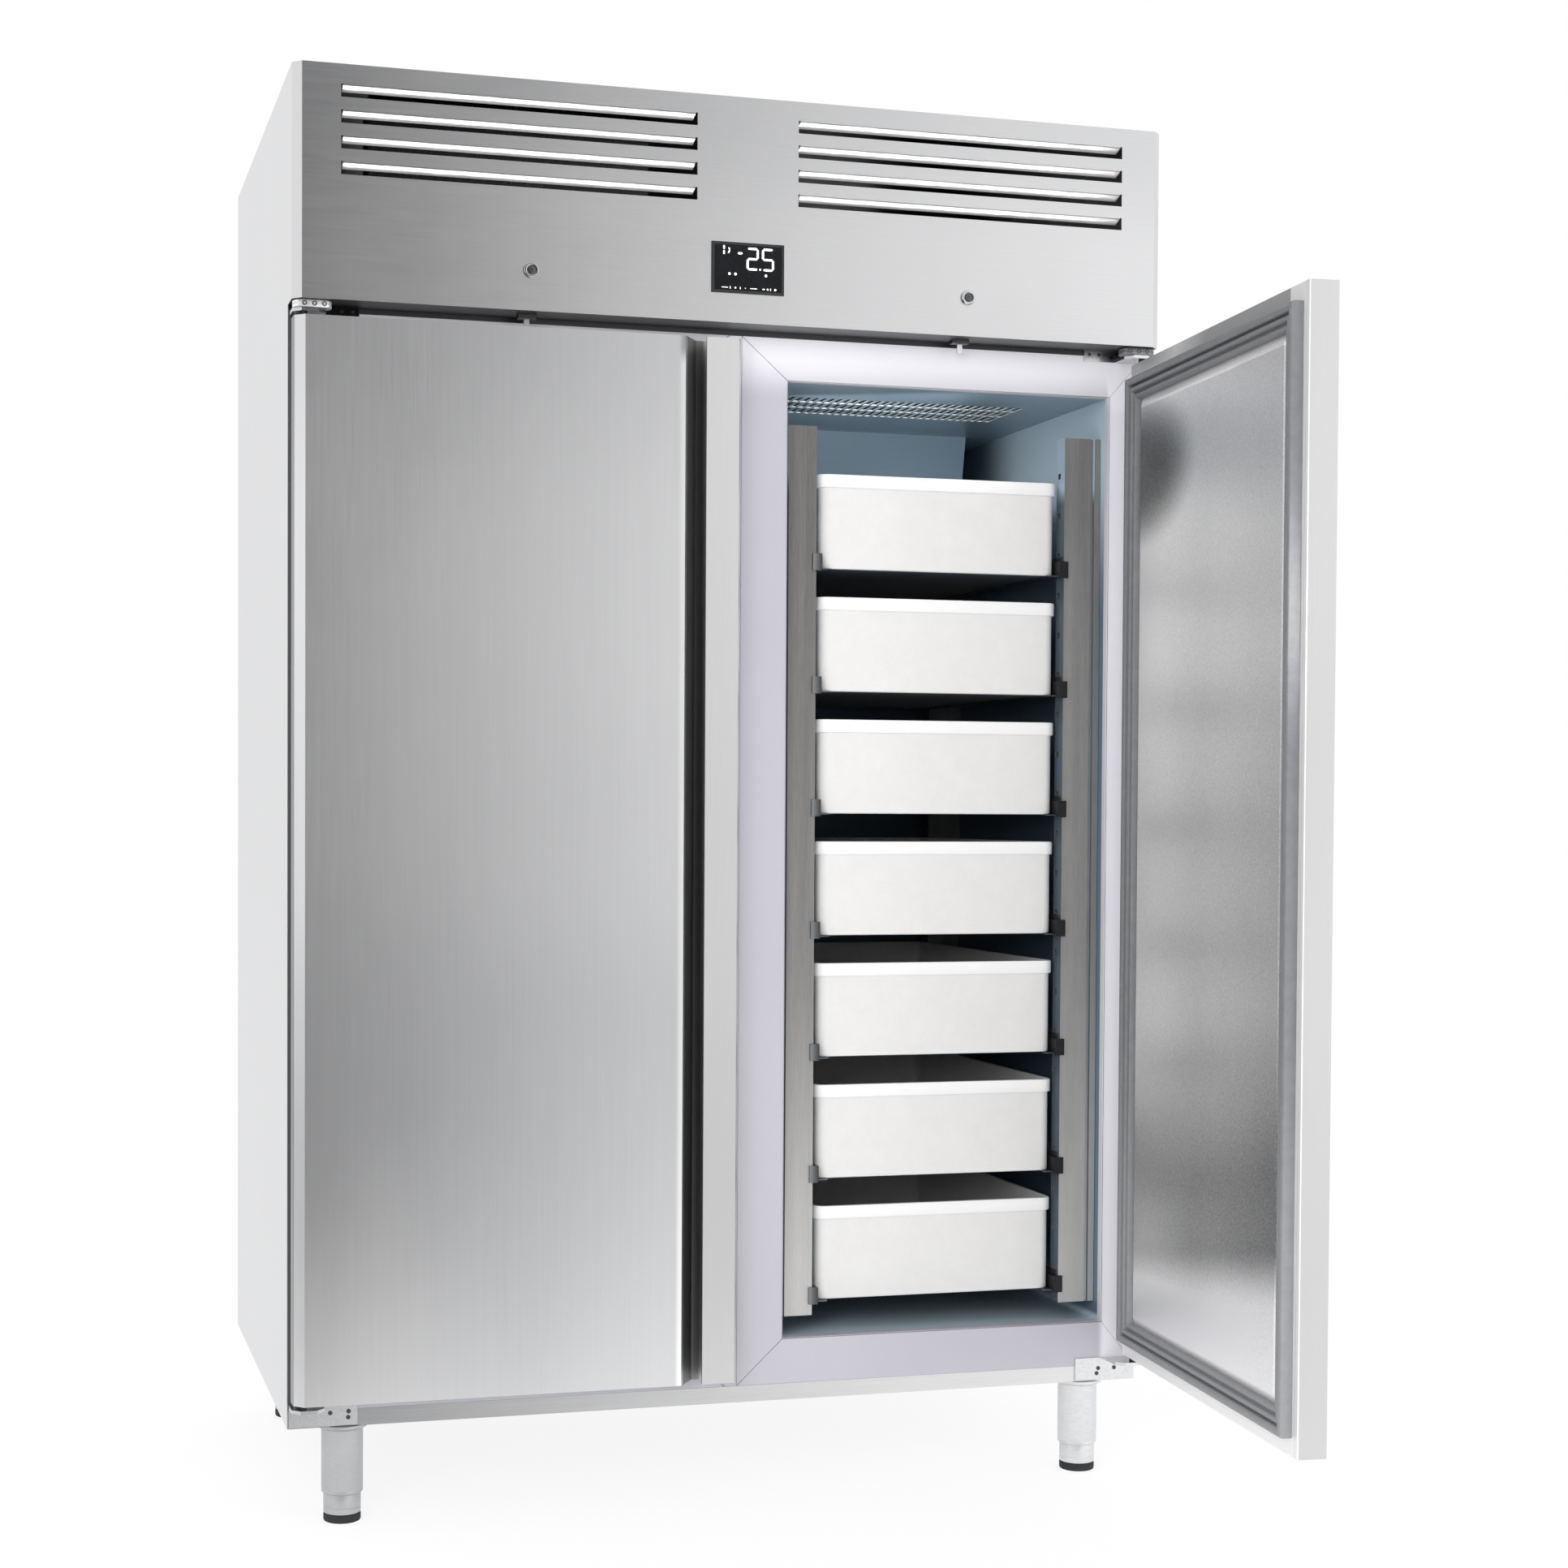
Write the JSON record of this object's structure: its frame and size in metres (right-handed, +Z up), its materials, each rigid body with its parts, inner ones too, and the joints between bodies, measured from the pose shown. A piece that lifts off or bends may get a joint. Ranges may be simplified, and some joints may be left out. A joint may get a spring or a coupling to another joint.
{
  "type": "two-door bakery refrigerator",
  "caption": "Upright steel bakery refrigerator on round legs, one door closed and one open on stacked dough boxes, with a slotted fascia, a display and locks.",
  "frame": {"origin": "on the floor, in the middle of the rectangle that the refrigerator takes with its right door open", "axes": "+Z up, -Y towards the front, +X to the right as seen from the front"},
  "size_m": [1.3516, 1.4686, 2.1],
  "materials": {
    "black_plastic": "satin",
    "box_plastic": "satin",
    "coil_metal": "satin",
    "compressor_black": "satin",
    "display": "gloss",
    "foam": "matte",
    "galvanised": "matte",
    "grip_metal": "satin",
    "lock_metal": "polished",
    "seal": "matte",
    "stainless_door": "satin",
    "stainless_fitting": "satin",
    "stainless_frame": "satin",
    "stainless_inner": "satin",
    "stainless_outer": "satin"
  },
  "bodies": {
    "cabinet": {"side_panels": "stainless_outer", "back_panel": "galvanised", "top_cover": "stainless_outer", "base_pan": "stainless_outer", "side_insulation": "foam", "mullion_insulation": "foam", "floor_insulation": "foam", "rear_insulation": "foam", "ceiling_insulation": "foam", "bay_liners": "stainless_inner", "door_frames": "stainless_frame", "ceiling_grilles": "stainless_inner", "air_deflectors": "stainless_inner", "fascia": "stainless_door", "fascia_rail": "stainless_outer", "controller": "black_plastic", "display_glass": "display", "hinge_brackets": "stainless_fitting", "bay_uprights": "stainless_inner", "box_runners": "stainless_fitting", "runner_clips": "black_plastic", "leg_sleeves": "stainless_fitting", "evaporator_fan_motors": "black_plastic", "evaporator_coil": "coil_metal", "condenser": "coil_metal", "compressor": "compressor_black", "electrical_box": "black_plastic", "cable_gland": "black_plastic"},
    "left_door": {"left_door_shell": "stainless_door", "left_door_core": "foam", "left_door_grip": "grip_metal", "left_door_panel": "stainless_inner", "left_door_gasket": "seal", "left_door_bushes": "black_plastic"},
    "right_door": {"right_door_shell": "stainless_door", "right_door_core": "foam", "right_door_grip": "grip_metal", "right_door_panel": "stainless_inner", "right_door_gasket": "seal", "right_door_bushes": "black_plastic"},
    "dough_box_1": {"dough_box_1": "box_plastic"},
    "dough_box_2": {"dough_box_2": "box_plastic"},
    "dough_box_3": {"dough_box_3": "box_plastic"},
    "dough_box_4": {"dough_box_4": "box_plastic"},
    "dough_box_5": {"dough_box_5": "box_plastic"},
    "dough_box_6": {"dough_box_6": "box_plastic"},
    "dough_box_7": {"dough_box_7": "box_plastic"},
    "left_lock": {"left_lock": "lock_metal"},
    "left_bolt": {"left_bolt": "stainless_fitting"},
    "left_evaporator_fan": {"left_evaporator_fan": "black_plastic"},
    "right_lock": {"right_lock": "lock_metal"},
    "right_bolt": {"right_bolt": "stainless_fitting"},
    "right_evaporator_fan": {"right_evaporator_fan": "black_plastic"},
    "condenser_fan": {"condenser_fan": "black_plastic"},
    "front_left_foot": {"front_left_foot": "stainless_fitting"},
    "front_right_foot": {"front_right_foot": "stainless_fitting"},
    "rear_left_foot": {"rear_left_foot": "stainless_fitting"},
    "rear_right_foot": {"rear_right_foot": "stainless_fitting"}
  },
  "joints": [
    {"name": "left_door_hinge", "type": "hinge", "parent": "cabinet", "child": "left_door", "pos_m": [-0.66082, -0.08868, 0.9675], "axis": [0, 0, -1], "range_deg": [0, 105]},
    {"name": "right_door_hinge", "type": "hinge", "parent": "cabinet", "child": "right_door", "pos_m": [0.64918, -0.08868, 0.9675], "axis": [0, 0, 1], "range_deg": [-85, 20]},
    {"name": "dough_box_1_slide", "type": "slide", "parent": "cabinet", "child": "dough_box_1", "axis": [0, -1, 0], "range_m": [0, 0.4]},
    {"name": "dough_box_2_slide", "type": "slide", "parent": "cabinet", "child": "dough_box_2", "axis": [0, -1, 0], "range_m": [0, 0.4]},
    {"name": "dough_box_3_slide", "type": "slide", "parent": "cabinet", "child": "dough_box_3", "axis": [0, -1, 0], "range_m": [0, 0.4]},
    {"name": "dough_box_4_slide", "type": "slide", "parent": "cabinet", "child": "dough_box_4", "axis": [0, -1, 0], "range_m": [0, 0.4]},
    {"name": "dough_box_5_slide", "type": "slide", "parent": "cabinet", "child": "dough_box_5", "axis": [0, -1, 0], "range_m": [0, 0.4]},
    {"name": "dough_box_6_slide", "type": "slide", "parent": "cabinet", "child": "dough_box_6", "axis": [0, -1, 0], "range_m": [0, 0.4]},
    {"name": "dough_box_7_slide", "type": "slide", "parent": "cabinet", "child": "dough_box_7", "axis": [0, -1, 0], "range_m": [0, 0.4]},
    {"name": "left_lock_turn", "type": "hinge", "parent": "cabinet", "child": "left_lock", "pos_m": [-0.33282, -0.11568, 1.826], "axis": [0, -1, 0], "range_deg": [0, 90]},
    {"name": "left_bolt_slide", "type": "slide", "parent": "cabinet", "child": "left_bolt", "axis": [0, 0, -1], "range_m": [0, 0.014]},
    {"name": "right_lock_turn", "type": "hinge", "parent": "cabinet", "child": "right_lock", "pos_m": [0.34318, -0.11568, 1.826], "axis": [0, -1, 0], "range_deg": [0, 90]},
    {"name": "right_bolt_slide", "type": "slide", "parent": "cabinet", "child": "right_bolt", "axis": [0, 0, -1], "range_m": [0, 0.014]},
    {"name": "left_evaporator_fan_spin", "type": "hinge", "parent": "cabinet", "child": "left_evaporator_fan", "pos_m": [-0.35382, 0.18432, 1.728], "axis": [0, 0, 1], "continuous": true},
    {"name": "right_evaporator_fan_spin", "type": "hinge", "parent": "cabinet", "child": "right_evaporator_fan", "pos_m": [0.34218, 0.18432, 1.728], "axis": [0, 0, 1], "continuous": true},
    {"name": "condenser_fan_spin", "type": "hinge", "parent": "cabinet", "child": "condenser_fan", "pos_m": [-0.34582, 0.06732, 1.957], "axis": [0, 1, 0], "continuous": true},
    {"name": "front_left_foot_turn", "type": "hinge", "parent": "cabinet", "child": "front_left_foot", "pos_m": [-0.59182, -0.02368, 0.06], "axis": [0, 0, 1], "continuous": true},
    {"name": "front_right_foot_turn", "type": "hinge", "parent": "cabinet", "child": "front_right_foot", "pos_m": [0.58018, -0.02368, 0.06], "axis": [0, 0, 1], "continuous": true},
    {"name": "rear_left_foot_turn", "type": "hinge", "parent": "cabinet", "child": "rear_left_foot", "pos_m": [-0.59182, 0.63632, 0.06], "axis": [0, 0, 1], "continuous": true},
    {"name": "rear_right_foot_turn", "type": "hinge", "parent": "cabinet", "child": "rear_right_foot", "pos_m": [0.58018, 0.63632, 0.06], "axis": [0, 0, 1], "continuous": true}
  ],
  "couplings": [
    {"joint": "left_bolt_slide", "follows": "left_lock_turn", "m_per_rad": 0.008912},
    {"joint": "right_bolt_slide", "follows": "right_lock_turn", "m_per_rad": 0.008912}
  ]
}
